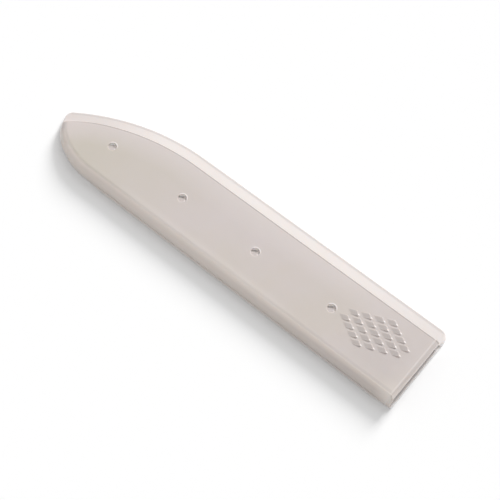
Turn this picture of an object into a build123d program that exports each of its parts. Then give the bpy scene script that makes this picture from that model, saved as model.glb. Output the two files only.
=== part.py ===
from build123d import *

import os
from math import asin, atan2, cos, degrees, hypot, radians, sin, sqrt

# Knife blade guard: a clamshell sheath moulded in translucent polypropylene.
# A flat back cover with a finger lip and a hollow front cover are joined by a living hinge
# along one long side, and close around a narrow kitchen knife blade of about 200 mm.
# X runs along the guard to its open mouth, Y from the hinge side to the lip, and Z is up.
# The origin lies under the middle of the guard, on the surface that it rests on.

os.makedirs("parts", exist_ok=True)

# Overall sizes
overall_length = 218.0
cover_width = 45.5
spine_height = 7.7
edge_height = 5.95

# Outline of the nose: the straight hinge side turns through four tangent arcs into the lip's edge
spine_arc_radius = 41.0
spine_arc_turn = 35.0
nose_arc_radius = 21.0
nose_arc_turn = 42.0
tip_radius = 4.1
tip_turn = 68.5

# Back cover
back_thickness = 1.4
lip_thickness = 2.2
lip_width = 7.4
lip_corner_radius = 4.3
hinge_corner_radius = 1.2
lip_top_radius = 0.8
back_bottom_radius = 0.4

# Front cover
parting_gap = 0.1
step_gap = 0.15
side_wall = 3.0
roof_at_spine = 1.5
roof_at_edge = 1.9
top_radius = 5.0
step_top_radius = 0.5
steepest_roof = 30.0
slope_length = 21.0
slope_radius = 110.0
pocket_corner_radius = 1.2
ceiling_corner_radius = 2.4

# Mouth
mouth_step = 1.0
mouth_bevel_length = 2.2
mouth_bevel_height = 1.0

# Row of dimples that press on the blade
dimple_count = 4
dimple_spacing = 45.4
first_dimple_from_nose = 32.6
dimple_from_lip = 25.7
dimple_radius = 2.1
dimple_depth = 1.2
dimple_near_depth = 0.45
dimple_rim_chamfer = 0.2
nub_radius = 3.0
nub_floor = 2.4
nub_edge_chamfer = 0.6

# Thumb grip: scales on a slanted lattice, five rows of five without the two far corners
grip_from_mouth = 26.5
grip_from_lip = 22.8
grip_rows = 5
scale_step_x, scale_step_y = 5.55, 2.4
row_step_x, row_step_y = 3.85, -2.3
scale_length_share = 0.74
scale_width_share = 0.68
scale_low = 0.05
scale_high = 0.42
scale_facet_length = 0.8
scale_sink = 0.3
scale_corner_radius = 0.7

# Closing pegs on the back cover and their sockets in the front cover
peg_radius = 0.7
peg_height = 1.2
peg_chamfer = 0.25
peg_clearance = 0.1
socket_spare_depth = 0.3

# Living hinge
web_outer_radius = 0.5
web_thickness = 0.38
hinge_standoff = 0.15
web_end_margin = 3.0

# One overrun serves every cut and every shape that is trimmed later
overrun = 8.0

# Places worked out from the sizes above
hinge_reach = hinge_standoff + web_outer_radius
overall_width = cover_width + hinge_reach
nose_x = -overall_length / 2
mouth_x = overall_length / 2
front_x = mouth_x - mouth_step
lip_y = overall_width / 2
spine_y = lip_y - cover_width
step_y = lip_y - lip_width
front_bottom = back_thickness + parting_gap

turn_1 = radians(spine_arc_turn)
turn_2 = turn_1 + radians(nose_arc_turn)
turn_3 = turn_2 + radians(tip_turn)
spine_climb = spine_arc_radius * (1 - cos(turn_1))
nose_climb = nose_arc_radius * (cos(turn_1) - cos(turn_2))
tip_climb = tip_radius * (cos(turn_2) - cos(turn_3))
edge_climb = cover_width - spine_climb - nose_climb - tip_climb
edge_arc_radius = edge_climb / (1 + cos(turn_3))
edge_arc_turn = 180 - degrees(turn_3)

spine_reach = spine_arc_radius * sin(turn_1)
nose_reach = nose_arc_radius * (sin(turn_2) - sin(turn_1))
tip_reach = tip_radius * (1 - sin(turn_2))
spine_arc_x = nose_x + spine_reach + nose_reach + tip_reach
edge_arc_x = nose_x + tip_radius * (1 - sin(turn_3)) + edge_arc_radius * sin(turn_3)

slope_x = nose_x + slope_length
roof_drop = spine_height - edge_height
roof_run = step_y - spine_y
roof_angle = atan2(roof_drop, roof_run)
ceiling_drop = roof_drop + roof_at_edge - roof_at_spine
roof_plane = Plane(
    origin=(0, spine_y, spine_height),
    x_dir=(1, 0, 0),
    z_dir=(0, sin(roof_angle), cos(roof_angle)),
)

dimple_y = lip_y - dimple_from_lip
dimple_xs = [nose_x + first_dimple_from_nose + i * dimple_spacing for i in range(dimple_count)]
dimple_roof = spine_height - (dimple_y - spine_y) * roof_drop / roof_run
nub_bottom = dimple_roof - dimple_depth - nub_floor
nub_top = dimple_roof - roof_at_edge / 2

hinge_y = spine_y - hinge_standoff
hinge_z = back_thickness + parting_gap / 2
web_inner_radius = web_outer_radius - web_thickness
web_start_x = spine_arc_x + web_end_margin
web_end_x = front_x - web_end_margin

grip_x = mouth_x - grip_from_mouth
grip_run = (lip_y - grip_from_lip - spine_y) / cos(roof_angle)
half_rows = (grip_rows - 1) / 2
scale_places = []
for row in range(grip_rows):
    for column in range(grip_rows):
        across, along = row - half_rows, column - half_rows
        if abs(across + along) < 2 * half_rows:
            x = grip_x + along * scale_step_x + across * row_step_x
            y = grip_run + along * scale_step_y + across * row_step_y
            scale_places.append((x, y))


def guard_line(end_x):
    """Closed line around the whole guard, from the nose to a straight end at end_x."""
    spine = Line((end_x, spine_y), (spine_arc_x, spine_y))
    spine_arc = JernArc(spine @ 1, spine % 1, spine_arc_radius, -spine_arc_turn)
    nose_arc = JernArc(spine_arc @ 1, spine_arc % 1, nose_arc_radius, -nose_arc_turn)
    tip_arc = JernArc(nose_arc @ 1, nose_arc % 1, tip_radius, -tip_turn)
    edge_arc = JernArc(tip_arc @ 1, tip_arc % 1, edge_arc_radius, -edge_arc_turn)
    Polyline(edge_arc @ 1, (end_x, lip_y), spine @ 0)


def step_line(inset):
    """Closed line around all that lies on the hinge side of a curve inset from the lip's edge."""
    far_x = mouth_x + 2 * overrun
    past_nose_turn = degrees(asin((edge_arc_x - nose_x + overrun) / edge_arc_radius))
    edge = Line((far_x, lip_y - inset), (edge_arc_x, lip_y - inset))
    curve = JernArc(edge @ 1, edge % 1, edge_arc_radius - inset, past_nose_turn)
    end = curve @ 1
    Polyline(end, (end.X, -overall_width), (far_x, -overall_width), edge @ 0)


def roof_line(level, below):
    """Closed line in the XZ plane under a roof that lies at a level and bends down to the nose."""
    far_x = mouth_x + 2 * overrun
    bend_radius = slope_radius - below
    bend_turn = degrees(asin((slope_length + overrun) / bend_radius))
    flat = Line((far_x, level - below), (slope_x, level - below))
    bend = JernArc(flat @ 1, flat % 1, bend_radius, bend_turn)
    end = bend @ 1
    Polyline(end, (end.X, -overrun), (far_x, -overrun), flat @ 0)


def land_y(x):
    """Middle of the front cover's rim beside the step, at a place x along the guard."""
    inset = lip_width + side_wall / 2
    if x > edge_arc_x:
        return lip_y - inset
    radius = edge_arc_radius - inset
    return lip_y - edge_arc_radius + sqrt(radius**2 - (x - edge_arc_x) ** 2)


def follows_lip(edge, inset):
    """True for an edge that runs along a curve inset from the lip's edge."""
    middle = edge @ 0.5
    if middle.X > edge_arc_x:
        return abs(lip_y - inset - middle.Y) < step_gap
    from_centre = hypot(middle.X - edge_arc_x, middle.Y - lip_y + edge_arc_radius)
    return abs(edge_arc_radius - inset - from_centre) < step_gap


peg_places = [(x, land_y(x)) for x in dimple_xs]

# Back cover: a flat plate with the raised finger lip along its far edge
with BuildPart() as back_cover:
    with BuildSketch() as back_plan:
        with BuildLine():
            guard_line(mouth_x)
        make_face()
        fillet(back_plan.vertices().group_by(Axis.X)[-1].sort_by(Axis.Y)[-1], lip_corner_radius)
        fillet(back_plan.vertices().group_by(Axis.X)[-1].sort_by(Axis.Y)[0], hinge_corner_radius)
    extrude(amount=back_thickness)
    with BuildSketch(Plane.XY.offset(back_thickness)):
        add(back_plan.sketch)
        with BuildLine():
            step_line(lip_width - step_gap)
        make_face(mode=Mode.SUBTRACT)
    extrude(amount=lip_thickness - back_thickness)
    lip_top = back_cover.faces().sort_by(Axis.Z)[-1]
    outer_edges = lip_top.edges().filter_by(lambda e: e.center().Y > step_y + lip_width / 2)
    fillet(outer_edges, lip_top_radius)
    bottom_edges = back_cover.faces().sort_by(Axis.Z)[0].edges()
    fillet(bottom_edges, back_bottom_radius)
    with BuildSketch(Plane.XY.offset(back_thickness)):
        with Locations(*peg_places):
            Circle(peg_radius)
    extrude(amount=peg_height)
    peg_tops = back_cover.faces().filter_by(Plane.XY).group_by(Axis.Z)[-1]
    chamfer(peg_tops.edges(), peg_chamfer)

# Core of the blade pocket, open past the mouth, its ceiling sloped like a blade
with BuildPart() as pocket_core:
    with BuildSketch(Plane.XY.offset(front_bottom - overrun)):
        with BuildLine():
            guard_line(mouth_x + overrun)
        make_face()
        with BuildLine():
            step_line(lip_width)
        make_face(mode=Mode.INTERSECT)
        offset(amount=-side_wall)
    extrude(amount=2 * overrun)
    ceiling_slope = ceiling_drop / roof_run
    with BuildSketch(Plane.XZ.offset(overrun - spine_y)):
        with BuildLine():
            roof_line(spine_height + overrun * ceiling_slope, roof_at_spine)
        make_face()
    extrude(amount=2 * overall_width, dir=(0, roof_run, -ceiling_drop), mode=Mode.INTERSECT)
    ceiling_faces = pocket_core.faces().filter_by(lambda f: f.normal_at().Z > cos(radians(steepest_roof)))
    crosswise = pocket_core.edges().filter_by(Axis((0, 0, 0), (0, roof_run, -ceiling_drop)))
    outer_edges = [e for e in ceiling_faces.edges() - crosswise if not follows_lip(e, lip_width + side_wall)]
    fillet(outer_edges, ceiling_corner_radius)
    nose_corner = pocket_core.edges().filter_by(Axis.Z).sort_by(lambda e: (e @ 0.5).X)[0]
    fillet(nose_corner, pocket_corner_radius)

# One dimple, on its own origin: a round pit whose floor rises towards the hinge side
with BuildPart() as dimple_pit:
    Cylinder(dimple_radius, 3 * dimple_depth)
    pit_floor = Plane(
        origin=(0, 0, -(dimple_depth + dimple_near_depth) / 2),
        z_dir=(0, dimple_depth - dimple_near_depth, 2 * dimple_radius),
    )
    split(bisect_by=pit_floor, keep=Keep.TOP)

# One nub, on its own origin: a short post under a dimple, with an eased end that presses on the blade
with BuildPart() as nub:
    Cylinder(nub_radius, nub_top - nub_bottom, align=(Align.CENTER, Align.CENTER, Align.MIN))
    chamfer(nub.faces().sort_by(Axis.Z)[0].edges(), nub_edge_chamfer)

# One scale of the thumb grip, on its own origin: a low ramp that climbs to a steep end
half_long = Vector(scale_step_x, scale_step_y) * (scale_length_share / 2)
half_wide = Vector(row_step_x, row_step_y) * (scale_width_share / 2)
climb_way = Vector(-row_step_y, row_step_x).normalized()
half_climb = half_long.dot(climb_way)
scale_slope = (scale_high - scale_low) / (2 * half_climb)
with BuildPart() as grip_scale:
    with BuildSketch(Plane.XY.offset(-scale_sink)) as scale_plan:
        with BuildLine():
            Polyline(
                half_long + half_wide,
                half_long - half_wide,
                -half_long - half_wide,
                half_wide - half_long,
                close=True,
            )
        make_face()
        fillet(scale_plan.vertices().sort_by(Axis((0, 0, 0), climb_way))[-2:], scale_corner_radius)
    extrude(amount=scale_sink + 2 * scale_high)
    ramp = Plane(
        origin=(0, 0, (scale_low + scale_high) / 2),
        z_dir=Vector(0, 0, 1) - climb_way * scale_slope,
    )
    split(bisect_by=ramp, keep=Keep.BOTTOM)
    facet = Plane(
        origin=climb_way * (half_climb - scale_facet_length) + Vector(0, 0, scale_high),
        z_dir=climb_way * scale_high + Vector(0, 0, scale_facet_length),
    )
    split(bisect_by=facet, keep=Keep.BOTTOM)

# Front cover: a hollow wedge that stands inside the lip and bends down to the nose
with BuildPart() as front_cover:
    with BuildSketch(Plane.XY.offset(front_bottom - overrun)):
        with BuildLine():
            guard_line(front_x)
        make_face()
    extrude(amount=spine_height + overrun)
    roof_slope = roof_drop / roof_run
    with BuildSketch(Plane.XZ.offset(overrun - spine_y)):
        with BuildLine():
            roof_line(spine_height + overrun * roof_slope, 0)
        make_face()
    extrude(amount=2 * overall_width, dir=(0, roof_run, -roof_drop), mode=Mode.INTERSECT)
    with BuildSketch(Plane.XY.offset(front_bottom - overrun)):
        with BuildLine():
            step_line(lip_width)
        make_face()
    extrude(amount=3 * overrun, mode=Mode.INTERSECT)
    roof_faces = front_cover.faces().filter_by(lambda f: f.normal_at().Z > cos(radians(steepest_roof)))
    crosswise = front_cover.edges().filter_by(Axis((0, 0, 0), (0, roof_run, -roof_drop)))
    fillet([e for e in roof_faces.edges() - crosswise if not follows_lip(e, lip_width)], top_radius)
    step_edges = front_cover.edges().filter_by(lambda e: follows_lip(e, lip_width))
    fillet(step_edges.filter_by(GeomType.LINE).sort_by(SortBy.LENGTH)[-1], step_top_radius)
    split(bisect_by=Plane.XY.offset(front_bottom), keep=Keep.TOP)
    add(pocket_core.part, mode=Mode.SUBTRACT)
    with BuildSketch(Plane.XZ.offset(overrun - spine_y)):
        bevel_top = spine_height + overrun * roof_slope
        with BuildLine():
            Polyline(
                (front_x - mouth_bevel_length, bevel_top),
                (front_x + mouth_bevel_length, bevel_top - 2 * mouth_bevel_height),
                (front_x + mouth_bevel_length, bevel_top + overrun),
                (front_x - mouth_bevel_length, bevel_top + overrun),
                close=True,
            )
        make_face()
    extrude(amount=2 * overall_width, dir=(0, roof_run, -roof_drop), mode=Mode.SUBTRACT)
    with Locations(*[(x, dimple_y, nub_bottom) for x in dimple_xs]):
        add(nub.part)
    dimple_run = (dimple_y - spine_y) / cos(roof_angle)
    with Locations(roof_plane):
        with Locations(*[(x, dimple_run) for x in dimple_xs]):
            add(dimple_pit.part, mode=Mode.SUBTRACT)
    rims = front_cover.edges().filter_by(GeomType.CIRCLE)
    chamfer(rims.filter_by(lambda e: abs(e.radius - dimple_radius) < step_gap), dimple_rim_chamfer)
    with BuildSketch(Plane.XY.offset(front_bottom)):
        with Locations(*peg_places):
            Circle(peg_radius + peg_clearance)
    extrude(amount=peg_height - parting_gap + socket_spare_depth, mode=Mode.SUBTRACT)
    with Locations(roof_plane):
        with Locations(*scale_places):
            add(grip_scale.part)

# Living hinge: a thin strip bent round between the two covers' faces on the hinge side
with BuildPart() as hinge_web:
    with BuildSketch(Plane.YZ.offset(web_start_x)):
        with BuildLine():
            outer_bend = CenterArc((hinge_y, hinge_z), web_outer_radius, 90, 180)
            inner_bend = CenterArc((hinge_y, hinge_z), web_inner_radius, 90, 180)
            Polyline(
                outer_bend @ 0,
                (spine_y, hinge_z + web_outer_radius),
                (spine_y, hinge_z + web_inner_radius),
                inner_bend @ 0,
            )
            Polyline(
                outer_bend @ 1,
                (spine_y, hinge_z - web_outer_radius),
                (spine_y, hinge_z - web_inner_radius),
                inner_bend @ 1,
            )
        make_face()
    extrude(amount=web_end_x - web_start_x)

back_cover.part.label = "back_cover"
front_cover.part.label = "front_cover"
hinge_web.part.label = "hinge_web"
export_step(back_cover.part, "parts/back_cover.step")
export_step(front_cover.part, "parts/front_cover.step")
export_step(hinge_web.part, "parts/hinge_web.step")
print("hinge axis at y", round(hinge_y, 3), "z", round(hinge_z, 3))
print("lip arc radius", round(edge_arc_radius, 2), "nub bottom", round(nub_bottom, 2))
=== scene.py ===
from functools import reduce
from math import pi, radians

import bmesh
import bpy
import numpy as np
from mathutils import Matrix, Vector


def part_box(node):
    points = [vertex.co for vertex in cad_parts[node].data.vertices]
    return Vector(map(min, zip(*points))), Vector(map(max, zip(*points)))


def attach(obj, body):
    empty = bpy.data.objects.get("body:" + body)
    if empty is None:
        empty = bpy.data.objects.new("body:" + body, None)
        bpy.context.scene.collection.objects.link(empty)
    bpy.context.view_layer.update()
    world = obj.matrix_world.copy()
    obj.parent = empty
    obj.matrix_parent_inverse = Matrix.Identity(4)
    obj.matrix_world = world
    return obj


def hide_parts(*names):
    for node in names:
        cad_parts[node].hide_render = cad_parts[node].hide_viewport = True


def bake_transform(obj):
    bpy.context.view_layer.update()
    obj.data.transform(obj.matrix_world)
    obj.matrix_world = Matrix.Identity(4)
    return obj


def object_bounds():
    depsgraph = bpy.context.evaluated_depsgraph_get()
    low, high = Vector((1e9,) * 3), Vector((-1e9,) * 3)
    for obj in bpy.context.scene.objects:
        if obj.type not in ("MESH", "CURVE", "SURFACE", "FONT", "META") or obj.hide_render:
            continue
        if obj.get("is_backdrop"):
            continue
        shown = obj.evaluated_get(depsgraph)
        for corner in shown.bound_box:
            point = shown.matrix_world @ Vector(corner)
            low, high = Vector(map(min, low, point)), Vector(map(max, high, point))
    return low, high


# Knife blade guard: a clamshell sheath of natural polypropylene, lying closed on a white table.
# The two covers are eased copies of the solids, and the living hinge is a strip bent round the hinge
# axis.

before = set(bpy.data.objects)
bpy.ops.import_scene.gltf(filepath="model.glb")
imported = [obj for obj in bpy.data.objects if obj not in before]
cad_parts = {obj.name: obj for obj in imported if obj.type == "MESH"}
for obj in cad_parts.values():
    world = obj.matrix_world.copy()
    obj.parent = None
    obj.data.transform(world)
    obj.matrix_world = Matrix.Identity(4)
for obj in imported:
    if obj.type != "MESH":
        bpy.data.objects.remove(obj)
cad_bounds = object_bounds()

MM = 0.001

# View of the photograph, worked out for a picture of 500 by 500 pixels
AIM = Vector((9.77, -0.86, 0.0)) * MM
EYE_WAY = Vector((0.2809, -0.3410, 0.8972))
EYE_DISTANCE = 579.5 * MM
LENS = 87.47
SENSOR = 36.0
CLIP_START = 0.01

# Light: a level is what a white surface that faces up gets from the sky or from a lamp
SKY_LEVEL = 0.46
SKY_SHOWN = 1.0
KEY_WAY = Vector((-0.06, 0.92, 0.41))
KEY_LEVEL = 0.36
KEY_SPREAD = radians(20)
BROAD_WAY = Vector((-0.10, 0.70, 0.71))
BROAD_LEVEL = 0.13
BROAD_SPREAD = radians(34)
FILL_WAY = Vector((0.10, -0.42, 0.90))
FILL_LEVEL = 0.05
FILL_SPREAD = radians(70)
GLEAM_WAY = Vector((0.80, 0.36, 0.48))
GLEAM_LEVEL = 0.05
GLEAM_SPREAD = radians(12)

# Table: white to the eye, and duller to the light that it throws back at the guard
TABLE_HALF = 3.0
TABLE_DULL = (0.80, 0.80, 0.80, 1.0)
TABLE_ROUGHNESS = 0.9
WHITE = (1.0, 1.0, 1.0, 1.0)

# Tones of the moulding, as linear colours
FACE_TONE = (0.625, 0.566, 0.552, 1.0)
FACE_WARM = (0.605, 0.550, 0.510, 1.0)
FACE_DEEP = (0.575, 0.530, 0.465, 1.0)
# Paler beside the step
FACE_PALE_BY_STEP = (0.668, 0.610, 0.590, 1.0)
# Painted light: the roof paler at the nose's tip, where the step fades
FACE_TIP_LIGHT = (0.655, 0.588, 0.562, 1.0)
# Darker tone: a faint cloud, and painted shade beside the step, on the bevel and inside the mouth
FACE_LINE = (0.450, 0.408, 0.388, 1.0)
# Painted light that lifts the shade of the rounded wall; the second tone is its palest part
SIDE_LIGHT = (0.880, 0.795, 0.735, 1.0)
SIDE_LIGHT_PALE = (1.0, 0.940, 0.890, 1.0)
# Painted shade on the grip's scales
GRIP_SHADE = (0.495, 0.449, 0.429, 1.0)
# Painted light: highlights on the bevel's crease, the grip's glints and the dimples' edges, and light on
# the mouth's end face
PAINTED_LIGHT = (0.880, 0.820, 0.800, 1.0)
# Painted light on the dimples' walls, lifting their shade
PIT_WALL_LIGHT = (1.0, 0.950, 0.930, 1.0)
# Painted shade on the lit part of the dimples' floors
PIT_FLOOR_SHADE = (0.520, 0.470, 0.452, 1.0)
# Painted shadow band across the dimples' floors
PIT_SHADE = (0.330, 0.298, 0.284, 1.0)
LIP_TONE = (0.875, 0.825, 0.805, 1.0)
LIP_WARM = (0.855, 0.802, 0.775, 1.0)
# Painted shade on the lip's rounded rim; the same tone also darkens the lip towards the mouth
LIP_RIM = (0.585, 0.548, 0.535, 1.0)
# Painted light on the back cover's end face at the mouth
LIP_END_LIGHT = (1.0, 0.975, 0.960, 1.0)
# Painted shade: the lip darker at the nose's tip, where the step fades
LIP_TIP_SHADE = (0.705, 0.650, 0.630, 1.0)

# Shares at which the small marks take their painted shade, painted light and glints
RAMP_SHADE_SHARE = 0.75
END_SHADE_SHARE = 0.6
GLINT_SHARE = 0.7
PIT_HIGHLIGHT_SHARE = 0.85
PIT_WALL_LIGHT_SHARE = 0.95

# Make-up of the plastic: a noise is its features per metre, its detail and its roughness
CLOUD_NOISE = (26.0, 3.0, 0.55)
PATCH_NOISE = (90.0, 4.0, 0.6)
SATIN_LOW, SATIN_HIGH = 0.34, 0.48
FLOW_STRETCH = (14.0, 260.0, 260.0)
FLOW_NOISE = (1.0, 2.0, 0.5)
FLOW_STRENGTH, FLOW_HEIGHT = 0.10, 0.15 * MM
GRAIN_NOISE = (2600.0, 3.0, 0.6)
GRAIN_STRENGTH, GRAIN_HEIGHT = 0.16, 0.05 * MM
PLASTIC_IOR = 1.49
GLOW_SHARE = 0.35
GLOW_COLOURS = (1.0, 0.86, 0.74)
FRONT_GLOW, BACK_GLOW = 1.6 * MM, 2.0 * MM

# Places of the moulding's features, in step with the solids
EDGE_ARC_X = -38.606 * MM
EDGE_ARC_RADIUS = 121.143 * MM
LIP_EDGE_Y = 23.075 * MM
LIP_WIDTH = 7.4 * MM
SPINE_Y = -22.425 * MM
ROOF_TOP = 7.7 * MM
ROOF_FALL = 0.045932
NOSE_BEND_X = -88.0 * MM
NOSE_BEND_RADIUS = 110.0 * MM
BEVEL_X = 105.8 * MM
FIRST_DIMPLE_X = -76.4 * MM
LAST_DIMPLE_NUMBER = 3.0
DIMPLE_SPACING = 45.4 * MM
DIMPLE_Y = -2.625 * MM
DIMPLE_RADIUS = 2.1 * MM
GRIP_X, GRIP_Y = 82.5 * MM, 0.275 * MM
SCALE_STEP = (5.55 * MM, 2.4 * MM)
ROW_STEP = (3.85 * MM, -2.3 * MM)

# Way from a dimple's near side to its far side: so much up along y, and so much back along x
FAR_UP, FAR_BACK = 0.77, 0.64

# Easing of the covers' edges
MERGE_DISTANCE = 0.0005 * MM
FLAT_ANGLE = radians(0.4)
EASED_WIDTH = 0.12 * MM
EASED_ANGLE = radians(32)
EASED_SEGMENTS = 2

# Living hinge, in step with the solid's sizes
HINGE_Y = -22.575 * MM
HINGE_Z = 1.45 * MM
STRIP_OUTER = 0.5 * MM
STRIP_THICK = 0.38 * MM
STRIP_ROUND = 0.08 * MM
STRIP_ROUND_ANGLE = radians(40)
STRIP_TAPER = 7.0 * MM
STRIP_SINK_SHARE = 0.8
STRIP_STEPS = 33
STRIP_STATIONS = 91

# Places of the colour sockets on a Mix node, where each kind of value has sockets of its own
MIX_SHARE, MIX_FROM, MIX_TO, MIX_RESULT = 0, 6, 7, 2


def added(name, data):
    """New object of the given data, in the scene."""
    piece = bpy.data.objects.new(name, data)
    bpy.context.scene.collection.objects.link(piece)
    return piece


def aim_camera():
    """Camera at the photograph's angle: on a line from the aim point, level across."""
    data = bpy.data.cameras.new("photo_view")
    data.lens = LENS
    data.sensor_width = SENSOR
    data.clip_start = CLIP_START
    camera = added("photo_view", data)
    way = EYE_WAY.normalized()
    camera.location = AIM + way * EYE_DISTANCE
    camera.rotation_euler = way.to_track_quat("Z", "Y").to_euler()
    bpy.context.scene.camera = camera


class Value:
    """A number that varies over a surface. Arithmetic on it adds Math nodes to its node tree."""

    def __init__(self, tree, socket):
        self.tree = tree
        self.socket = socket

    def __add__(self, other):
        return worked("ADD", self, other)

    def __sub__(self, other):
        return worked("SUBTRACT", self, other)

    def __rsub__(self, other):
        return worked("SUBTRACT", other, self)

    def __mul__(self, other):
        return worked("MULTIPLY", self, other)

    def __truediv__(self, other):
        return worked("DIVIDE", self, other)

    def __pow__(self, other):
        return worked("POWER", self, other)

    def __abs__(self):
        return worked("ABSOLUTE", self)

    def __round__(self):
        return worked("ROUND", self)

    def ramp(self, low, high, at_low, at_high):
        """Value carried from the range low..high to the range at_low..at_high, and clamped."""
        node = self.tree.nodes.new("ShaderNodeMapRange")
        node.inputs["From Min"].default_value = low
        node.inputs["From Max"].default_value = high
        node.inputs["To Min"].default_value = at_low
        node.inputs["To Max"].default_value = at_high
        self.tree.links.new(self.socket, node.inputs["Value"])
        return Value(self.tree, node.outputs["Result"])

    def ramp_mm(self, low, high, at_low, at_high):
        """The same for a length, with low and high in millimetres."""
        return self.ramp(low * MM, high * MM, at_low, at_high)


def worked(operation, *terms):
    """Result of one Math node on one or two terms, each a value or a plain number."""
    tree = next(term.tree for term in terms if isinstance(term, Value))
    node = tree.nodes.new("ShaderNodeMath")
    node.operation = operation
    for slot, term in zip(node.inputs, terms):
        if isinstance(term, Value):
            tree.links.new(term.socket, slot)
        else:
            slot.default_value = term
    return Value(tree, node.outputs[0])


def larger(first, second):
    """The larger of two terms."""
    return worked("MAXIMUM", first, second)


def smaller(first, second):
    """The smaller of two terms."""
    return worked("MINIMUM", first, second)


def all_of(*shares):
    """Product of several shares, so that it is 1 only where each of them is."""
    return reduce(lambda product, share: product * share, shares)


def flat_length(across, along):
    """Length of a flat vector: the square root of across squared plus along squared."""
    return worked("SQRT", across ** 2.0 + along ** 2.0)


def tinted(colour, share, tone):
    """Colour, a socket or a plain tone, that is carried towards a tone by a share from 0 to 1."""
    links = share.tree.links
    node = share.tree.nodes.new("ShaderNodeMix")
    node.data_type = "RGBA"
    links.new(share.socket, node.inputs[MIX_SHARE])
    if isinstance(colour, tuple):
        node.inputs[MIX_FROM].default_value = colour
    else:
        links.new(colour, node.inputs[MIX_FROM])
    node.inputs[MIX_TO].default_value = tone
    return node.outputs[MIX_RESULT]


def noise(tree, place, scale, detail, rough):
    """Noise over a place, with features about one over scale metres across."""
    node = tree.nodes.new("ShaderNodeTexNoise")
    node.inputs["Scale"].default_value = scale
    node.inputs["Detail"].default_value = detail
    node.inputs["Roughness"].default_value = rough
    tree.links.new(place, node.inputs["Vector"])
    return Value(tree, node.outputs["Fac"])


def coordinates(tree, place):
    """The three coordinates of a place, as values."""
    node = tree.nodes.new("ShaderNodeSeparateXYZ")
    tree.links.new(place, node.inputs[0])
    return [Value(tree, socket) for socket in node.outputs]


def seen_directly(tree):
    """Value 1 where a camera, mirror or see-through ray lands, 0 for the rays that carry light."""
    path = tree.nodes.new("ShaderNodeLightPath")
    rays = ("Is Camera Ray", "Is Glossy Ray", "Is Transmission Ray")
    return reduce(larger, [Value(tree, path.outputs[ray]) for ray in rays])


def far_lamp(name, way, level, spread):
    """Lamp far away along way. Its energy is the level times pi, over the height of the unit way."""
    way = way.normalized()
    data = bpy.data.lights.new(name, "SUN")
    data.energy = level * pi / way.z
    data.angle = spread
    lamp = added(name, data)
    lamp.rotation_euler = way.to_track_quat("Z", "Y").to_euler()
    lamp.location = way
    return lamp


def light_studio():
    """White sky and four far lamps.

    A low key and a broad lamp stand on the lip's side and stay out of reflections. A wide fill
    stands on the hinge side, and beyond the mouth a weak gleam that shows only in reflections.
    """
    world = bpy.data.worlds.new("studio_sky")
    bpy.context.scene.world = world
    world.use_nodes = True
    tree = world.node_tree
    sky = tree.nodes["Background"]
    sky.inputs["Color"].default_value = WHITE
    level = seen_directly(tree).ramp(0.0, 1.0, SKY_LEVEL, SKY_SHOWN)
    tree.links.new(level.socket, sky.inputs["Strength"])

    key = far_lamp("key_lamp", KEY_WAY, KEY_LEVEL, KEY_SPREAD)
    key.visible_glossy = False
    broad = far_lamp("broad_lamp", BROAD_WAY, BROAD_LEVEL, BROAD_SPREAD)
    broad.visible_glossy = False
    far_lamp("fill_lamp", FILL_WAY, FILL_LEVEL, FILL_SPREAD)
    gleam = far_lamp("gleam_lamp", GLEAM_WAY, GLEAM_LEVEL, GLEAM_SPREAD)
    gleam.visible_diffuse = False


def lay_table():
    """White table under the guard."""
    half = TABLE_HALF
    corners = [(-half, -half, 0), (half, -half, 0), (half, half, 0), (-half, half, 0)]
    mesh = bpy.data.meshes.new("table_top")
    mesh.from_pydata(corners, [], [(0, 1, 2, 3)])
    table = added("table_top", mesh)
    paint = bpy.data.materials.new("white_table")
    paint.use_nodes = True
    tree = paint.node_tree
    surface = tree.nodes["Principled BSDF"]
    shown = tinted(TABLE_DULL, seen_directly(tree), WHITE)
    tree.links.new(shown, surface.inputs["Base Color"])
    surface.inputs["Roughness"].default_value = TABLE_ROUGHNESS
    surface.inputs["Specular IOR Level"].default_value = 0.0
    mesh.materials.append(paint)
    table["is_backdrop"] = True


def inside_edge(x, y):
    """Distance in from the lip's outer edge: the arc's radius less the distance from its centre line."""
    left = smaller(x - EDGE_ARC_X, 0.0)
    up = y - (LIP_EDGE_Y - EDGE_ARC_RADIUS)
    return EDGE_ARC_RADIUS - flat_length(left, up)


def under_roof(x, y, z):
    """Depth below the roof, which falls evenly from the hinge side to the lip and bends down to the nose.

    The bend is written as the square of the way past its start over twice its radius.
    """
    fall = (y - SPINE_Y) * ROOF_FALL
    past = larger(NOSE_BEND_X - x, 0.0)
    bend = past ** 2.0 / (2 * NOSE_BEND_RADIUS)
    return ROOF_TOP - fall - bend - z


def side_light_share(x, y, inset, depth):
    """Share of the painted light that lifts the shade of the rounded wall, which runs along the hinge
    side and round the nose.

    It is weaker low on the wall towards the mouth, and kept off the bevel.
    """
    low_wall = all_of(
        x.ramp_mm(-20.0, 80.0, 0.0, 0.4),
        x.ramp_mm(98.0, 106.0, 1.0, 0.0),
        depth.ramp_mm(0.9, 1.8, 0.0, 1.0),
    )
    past_bevel = x.ramp(BEVEL_X, 106.1 * MM, 0.0, 1.0) * y.ramp_mm(-21.5, -19.5, 0.0, 0.9)
    return all_of(
        depth.ramp_mm(0.10, 0.45, 0.0, 1.0),
        depth.ramp_mm(0.9, 3.5, 1.0, 0.8),
        inset.ramp_mm(4.0, 8.0, 0.0, 1.0),
        1.0 - low_wall,
        x.ramp_mm(60.0, 85.0, 1.0, 0.85),
        1.0 - past_bevel,
        larger(y.ramp_mm(-16.0, -13.0, 1.0, 0.0), x.ramp_mm(-92.0, -86.0, 0.7, 0.0)),
    )


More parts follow.
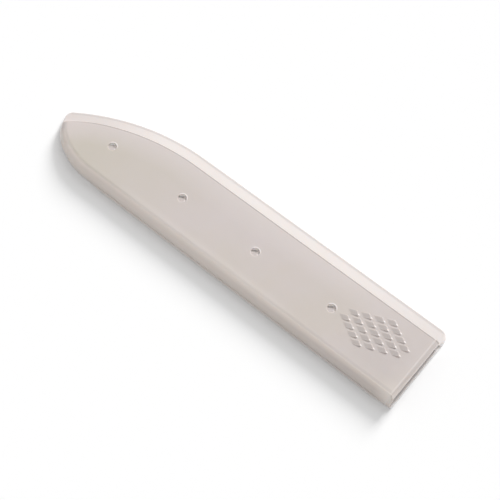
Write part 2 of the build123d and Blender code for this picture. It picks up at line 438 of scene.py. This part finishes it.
def pale_light_share(x, y, depth):
    """Share of the wall's palest painted light: along its middle, at the mouth's corner and low on the
    nose.
    """
    middle = all_of(
        x.ramp_mm(-60.0, -45.0, 0.0, 0.1),
        x.ramp_mm(30.0, 60.0, 1.0, 0.0),
        y.ramp_mm(-18.0, -14.0, 1.0, 0.0),
        depth.ramp_mm(0.8, 2.0, 1.0, 0.0),
    )
    corner = all_of(
        x.ramp_mm(98.0, 106.0, 0.0, 0.7),
        x.ramp_mm(107.0, 107.6, 1.0, 0.0),
        y.ramp_mm(-20.5, -18.5, 1.0, 0.15),
        y.ramp_mm(-16.0, -12.0, 1.0, 0.0),
        depth.ramp_mm(1.0, 3.5, 1.0, 0.4),
    )
    nose = x.ramp_mm(-105.0, -99.0, 0.8, 0.0) * depth.ramp_mm(1.2, 2.4, 0.0, 1.0)
    return larger(larger(middle, corner), nose)


def with_face(colour, x, y, inset, depth):
    """Colour with the slow changes of tone over the roof and its rounded wall.

    The roof is deeper towards the nose and paler beside the step, with painted light at the very tip.
    A faint darker cloud lies from the hinge side into the grip. Painted light lifts the shade of the
    rounded wall, so that it is paler than the roof.
    """
    colour = tinted(colour, x.ramp_mm(-85.0, -10.0, 0.85, 0.0), FACE_DEEP)
    by_step = inset.ramp_mm(1.0, 13.0, 1.0, 0.0) * x.ramp_mm(60.0, 95.0, 1.0, 0.0)
    colour = tinted(colour, by_step, FACE_PALE_BY_STEP)
    # Painted light at the nose's tip
    colour = tinted(colour, x.ramp_mm(-107.0, -88.0, 0.8, 0.0), FACE_TIP_LIGHT)
    # Painted light on the rounded wall
    colour = tinted(colour, side_light_share(x, y, inset, depth), SIDE_LIGHT)
    colour = tinted(colour, pale_light_share(x, y, depth), SIDE_LIGHT_PALE)
    cloud = all_of(
        x.ramp_mm(66.0, 88.0, 0.0, 0.2),
        x.ramp_mm(98.0, 104.0, 1.0, 0.0),
        y.ramp_mm(-19.0, -13.0, 0.0, 1.0),
        y.ramp_mm(-1.0, 9.0, 1.0, 0.0),
    )
    return tinted(colour, cloud, FACE_LINE)


def with_edges(colour, x, y, inset):
    """Colour with painted shade in a line beside the step, a painted highlight on the crease before the
    bevel, painted shade on the bevel, and painted light on the end face.
    """
    # Painted shade in the crease beside the step
    line = inset.ramp_mm(0.55, 0.95, 1.0, 0.0) * x.ramp_mm(-104.0, -92.0, 0.0, 1.0)
    colour = tinted(colour, line, FACE_LINE)
    from_bevel = x - BEVEL_X
    # Painted highlight on the crease before the bevel
    crease = abs(from_bevel).ramp_mm(0.2, 0.5, 0.32, 0.0)
    colour = tinted(colour, crease, PAINTED_LIGHT)
    # Painted shade on the bevel, which turns away from the light
    bevel = from_bevel.ramp_mm(0.4, 0.7, 0.0, 0.1) * from_bevel.ramp_mm(1.5, 1.8, 1.0, 0.0)
    colour = tinted(colour, bevel, FACE_LINE)
    # Painted light on the front's end face at the mouth, which faces away from the lamps
    end_face = from_bevel.ramp_mm(2.0, 2.14, 0.0, 0.6) * y.ramp_mm(-20.0, -8.0, 0.0, 1.0)
    return tinted(colour, end_face, PAINTED_LIGHT)


def with_scales(colour, x, y, depth):
    """Colour with the grip's scales: painted shade on the ramps, and painted shade and a painted glint on
    their steep ends.

    A place is written as a times the step between scales plus b times the step between rows.
    What is left of a and b after rounding tells where in its own scale the place lies.
    """
    spin = SCALE_STEP[0] * ROW_STEP[1] - SCALE_STEP[1] * ROW_STEP[0]
    px, py = x - GRIP_X, y - GRIP_Y
    a = px * (ROW_STEP[1] / spin) + py * (-ROW_STEP[0] / spin)
    b = py * (SCALE_STEP[0] / spin) + px * (-SCALE_STEP[1] / spin)
    a_whole, b_whole = round(a), round(b)
    a_rest, b_rest = a - a_whole, b - b_whole
    there = all_of(
        abs(b_rest).ramp(0.26, 0.36, 1.0, 0.0),
        abs(a_whole).ramp(2.2, 2.4, 1.0, 0.0),
        abs(b_whole).ramp(2.2, 2.4, 1.0, 0.0),
        abs(a_whole + b_whole).ramp(3.2, 3.4, 1.0, 0.0),
        depth.ramp_mm(0.3, 0.5, 1.0, 0.0),
    )
    ramp = all_of(there, a_rest.ramp(-0.38, -0.28, 0.0, 1.0), a_rest.ramp(0.16, 0.22, 1.0, 0.0))
    steep_end = all_of(there, a_rest.ramp(0.18, 0.23, 0.0, 1.0), a_rest.ramp(0.35, 0.40, 1.0, 0.0))
    end_shade = steep_end * b_rest.ramp(-0.05, 0.08, 1.0, 0.0)
    glint = steep_end * abs(b_rest - 0.16).ramp(0.06, 0.14, 1.0, 0.0)
    # Painted shade on the ramps and on part of the steep ends, and a painted glint
    colour = tinted(colour, ramp * RAMP_SHADE_SHARE, GRIP_SHADE)
    colour = tinted(colour, end_shade * END_SHADE_SHARE, GRIP_SHADE)
    return tinted(colour, glint * GLINT_SHARE, PAINTED_LIGHT)


def with_dimples(colour, x, y, depth):
    """Colour with the dimples: a painted shadow band, painted shade on the floor, painted light on the
    walls, and a painted highlight on the edge.

    The dimples are numbered from 0 at the nose, and a place belongs to the nearest one. The far
    side is the one towards the nose and the lip. The painted shadow band crosses the floor between
    the middle and the foot of the far wall, and is faint on the first dimple. Painted light lifts the
    shade of the far wall and of the end towards the mouth, and a painted highlight lies on the
    edge outside the wall on the lip's side.
    """
    count = (x - FIRST_DIMPLE_X) / DIMPLE_SPACING
    number = smaller(larger(round(count), 0.0), LAST_DIMPLE_NUMBER)
    across = (count - number) * DIMPLE_SPACING
    along = y - DIMPLE_Y
    radius = flat_length(across, along)
    away = along * FAR_UP - across * FAR_BACK
    mouth_end = across * FAR_UP + along * FAR_BACK
    sunk = radius.ramp_mm(2.2, 2.3, 1.0, 0.0) * depth.ramp_mm(0.25, 0.40, 0.0, 1.0)
    inner = sunk * radius.ramp_mm(1.9, 2.05, 1.0, 0.0)
    floor = inner * away.ramp_mm(0.3, 0.6, 1.0, 0.0)
    band = all_of(
        inner,
        away.ramp_mm(0.35, 0.60, 0.0, 1.0),
        away.ramp_mm(1.30, 1.55, 1.0, 0.0),
        mouth_end.ramp_mm(0.3, 1.3, 1.0, 0.0),
        count.ramp(0.3, 0.7, 0.3, 1.0),
    )
    walls = sunk * larger(
        away.ramp_mm(1.30, 1.55, 0.0, 1.0),
        mouth_end.ramp_mm(0.5, 1.3, 0.0, 0.5),
    )
    edge = all_of(
        radius.ramp(1.9 * MM, DIMPLE_RADIUS, 0.0, 1.0),
        radius.ramp_mm(2.6, 2.9, 1.0, 0.0),
        depth.ramp_mm(0.35, 0.50, 1.0, 0.0),
        along.ramp_mm(0.4, 1.6, 0.0, 1.0),
    )
    # Painted shade on the floor, a painted highlight on the edge, painted light on the walls, and a
    # painted shadow band
    colour = tinted(colour, floor, PIT_FLOOR_SHADE)
    colour = tinted(colour, edge * PIT_HIGHLIGHT_SHARE, PAINTED_LIGHT)
    colour = tinted(colour, walls * PIT_WALL_LIGHT_SHARE, PIT_WALL_LIGHT)
    return tinted(colour, band, PIT_SHADE)


def front_tones(colour, x, y, z):
    """The front cover's colour with the tones of its face, edges, grip and dimples."""
    inset = inside_edge(x, y) - LIP_WIDTH
    depth = under_roof(x, y, z)
    colour = with_face(colour, x, y, inset, depth)
    colour = with_edges(colour, x, y, inset)
    colour = with_scales(colour, x, y, depth)
    return with_dimples(colour, x, y, depth)


def back_tones(colour, x, y, z):
    """The back cover's colour with its own tones.

    They are painted shade on the lip at the tip, a lip darker towards the mouth, painted shade on the
    rounded rim, painted shade inside the mouth, and painted light on the end face.
    """
    # Painted shade on the lip at the nose's tip
    colour = tinted(colour, x.ramp_mm(-106.0, -62.0, 0.85, 0.0), LIP_TIP_SHADE)
    colour = tinted(colour, x.ramp_mm(50.0, 109.0, 0.0, 0.22), LIP_RIM)
    inset = inside_edge(x, y)
    # Painted shade on the lip's rounded rim
    rim = inset.ramp_mm(0.6, 1.0, 0.9, 0.5) * inset.ramp_mm(1.35, 1.8, 1.0, 0.0)
    colour = tinted(colour, rim, LIP_RIM)
    # Painted shade inside the mouth's slot
    slot = all_of(
        z.ramp_mm(1.20, 1.35, 0.0, 0.2),
        x.ramp_mm(100.0, 107.0, 0.0, 1.0),
        x.ramp_mm(108.2, 108.6, 1.0, 0.0),
        y.ramp_mm(14.0, 15.5, 1.0, 0.0),
    )
    colour = tinted(colour, slot, FACE_LINE)
    # Painted light on the end face at the mouth
    return tinted(colour, x.ramp_mm(108.6, 108.9, 0.0, 1.0), LIP_END_LIGHT)


def bump(tree, height, strength, distance):
    """Bump node for a height, which goes from 0 to 1 over a distance."""
    node = tree.nodes.new("ShaderNodeBump")
    node.inputs["Strength"].default_value = strength
    node.inputs["Distance"].default_value = distance
    tree.links.new(height.socket, node.inputs["Height"])
    return node


def moulded_plastic(name, tone, warm, glow, marks):
    """Natural polypropylene: clouded tone, satin mould grain, faint flow lines and light in the wall."""
    material = bpy.data.materials.new(name)
    material.use_nodes = True
    tree = material.node_tree
    surface = tree.nodes["Principled BSDF"]
    place = tree.nodes.new("ShaderNodeTexCoord").outputs["Object"]

    clouds = noise(tree, place, *CLOUD_NOISE)
    colour = tinted(tone, clouds.ramp(0.35, 0.68, 0.0, 1.0), warm)
    tree.links.new(marks(colour, *coordinates(tree, place)), surface.inputs["Base Color"])

    patches = noise(tree, place, *PATCH_NOISE)
    satin = patches.ramp(0.3, 0.7, SATIN_LOW, SATIN_HIGH)
    tree.links.new(satin.socket, surface.inputs["Roughness"])

    stretch = tree.nodes.new("ShaderNodeMapping")
    stretch.inputs["Scale"].default_value = FLOW_STRETCH
    tree.links.new(place, stretch.inputs["Vector"])
    flow = noise(tree, stretch.outputs["Vector"], *FLOW_NOISE)
    flow_bump = bump(tree, flow, FLOW_STRENGTH, FLOW_HEIGHT)
    grain = noise(tree, place, *GRAIN_NOISE)
    grain_bump = bump(tree, grain, GRAIN_STRENGTH, GRAIN_HEIGHT)
    tree.links.new(flow_bump.outputs["Normal"], grain_bump.inputs["Normal"])
    tree.links.new(grain_bump.outputs["Normal"], surface.inputs["Normal"])

    surface.inputs["IOR"].default_value = PLASTIC_IOR
    surface.inputs["Subsurface Weight"].default_value = GLOW_SHARE
    surface.inputs["Subsurface Radius"].default_value = GLOW_COLOURS
    surface.inputs["Subsurface Scale"].default_value = glow
    return material


def eased_edges(piece, width, angle):
    """Modifier that rounds every edge of a piece that is sharper than an angle."""
    ease = piece.modifiers.new("eased_edges", "BEVEL")
    ease.width = width
    ease.segments = EASED_SEGMENTS
    ease.limit_method = "ANGLE"
    ease.angle_limit = angle
    return ease


def eased_copy(node_name, name, material, body):
    """The CAD solid with its doubles merged, its flat faces joined, and every sharp edge eased."""
    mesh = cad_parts[node_name].data.copy()
    mesh.name = name
    shell = bmesh.new()
    shell.from_mesh(mesh)
    bmesh.ops.remove_doubles(shell, verts=shell.verts, dist=MERGE_DISTANCE)
    bmesh.ops.dissolve_limit(
        shell,
        angle_limit=FLAT_ANGLE,
        verts=shell.verts,
        edges=shell.edges,
        use_dissolve_boundaries=False,
    )
    for face in shell.faces:
        face.smooth = True
    shell.to_mesh(mesh)
    shell.free()
    mesh.materials.clear()
    mesh.materials.append(material)
    piece = added(name, mesh)
    ease = eased_edges(piece, EASED_WIDTH, EASED_ANGLE)
    ease.harden_normals = True
    even = piece.modifiers.new("even_shading", "WEIGHTED_NORMAL")
    even.keep_sharp = True
    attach(piece, body)
    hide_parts(node_name)
    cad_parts[node_name].data.materials[0].name


def strip_section(leg):
    """Closed loop of the strip's section round the hinge axis, as its y and its z values.

    The section's middle line is a leg, a half circle and a leg, and each side of it lies half the
    thickness away. The loop runs out along the outer side and back along the inner one.
    """
    half = STRIP_THICK / 2
    mid_radius = STRIP_OUTER - half
    quarter = pi * mid_radius / 2
    way = np.linspace(-leg - quarter, leg + quarter, STRIP_STEPS)
    turn = np.clip(way / mid_radius, -pi / 2, pi / 2)
    out_y, out_z = -np.cos(turn), np.sin(turn)
    y_mid = HINGE_Y + mid_radius * out_y + np.maximum(np.abs(way) - quarter, 0.0)
    z_mid = HINGE_Z + mid_radius * out_z
    y_loop = np.concatenate([y_mid + half * out_y, (y_mid - half * out_y)[::-1]])
    z_loop = np.concatenate([z_mid + half * out_z, (z_mid - half * out_z)[::-1]])
    return y_loop, z_loop


def hinge_strip(material):
    """Living hinge: the section round the hinge axis, carried along the guard.

    Over its last stretch at both ends the strip's bulge shrinks towards the covers along a quarter
    of a sine. The ring of points at each station is joined to the next by quads, and a row of quads
    closes each end. A small round eases the edges.
    """
    low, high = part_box("hinge_web")
    y_loop, z_loop = strip_section(high.y - HINGE_Y)
    ring = len(y_loop)
    x_line = np.linspace(low.x, high.x, STRIP_STATIONS)
    from_end = np.minimum(x_line - low.x, high.x - x_line)
    bulge = 1 - STRIP_SINK_SHARE * (1 - np.sin(np.clip(from_end / STRIP_TAPER, 0, 1) * pi / 2))
    past_axis = np.minimum(y_loop - HINGE_Y, 0)
    xs = np.repeat(x_line, ring)
    ys = (y_loop + np.outer(bulge - 1, past_axis)).ravel()
    zs = np.tile(z_loop, STRIP_STATIONS)
    verts = np.column_stack([xs, ys, zs])

    i = np.arange(ring)
    first = np.arange(STRIP_STATIONS - 1)[:, None] * ring
    a = first + i
    b = first + (i + 1) % ring
    quads = np.stack([a, a + ring, b + ring, b], axis=-1).reshape(-1, 4)
    k = np.arange(STRIP_STEPS - 1)
    near = np.column_stack([k, k + 1, ring - 2 - k, ring - 1 - k])
    far = near[:, ::-1] + (STRIP_STATIONS - 1) * ring
    faces = np.concatenate([quads, near, far]).tolist()
    mesh = bpy.data.meshes.new("hinge_strip")
    mesh.from_pydata(verts.tolist(), [], faces)
    shell = bmesh.new()
    shell.from_mesh(mesh)
    bmesh.ops.recalc_face_normals(shell, faces=shell.faces)
    for face in shell.faces:
        face.smooth = True
    shell.to_mesh(mesh)
    shell.free()
    mesh.materials.append(material)
    strip = added("hinge_strip", mesh)
    eased_edges(strip, STRIP_ROUND, STRIP_ROUND_ANGLE)
    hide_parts("hinge_web")
    HINGE_Z - STRIP_OUTER / 2
    HINGE_Z + STRIP_OUTER / 2
    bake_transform(strip)


aim_camera()
light_studio()
lay_table()

front_look = moulded_plastic("front_moulding", FACE_TONE, FACE_WARM, FRONT_GLOW, front_tones)
back_look = moulded_plastic("back_moulding", LIP_TONE, LIP_WARM, BACK_GLOW, back_tones)
eased_copy("front_cover", "front_shell", front_look, "front_half")
eased_copy("back_cover", "back_shell", back_look, "back_half")
hinge_strip(front_look)

bpy.context.scene.view_settings.view_transform = "Standard"

visual_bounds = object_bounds()
({"cad": [list(corner) for corner in cad_bounds],
           "visual": [list(corner) for corner in visual_bounds]})
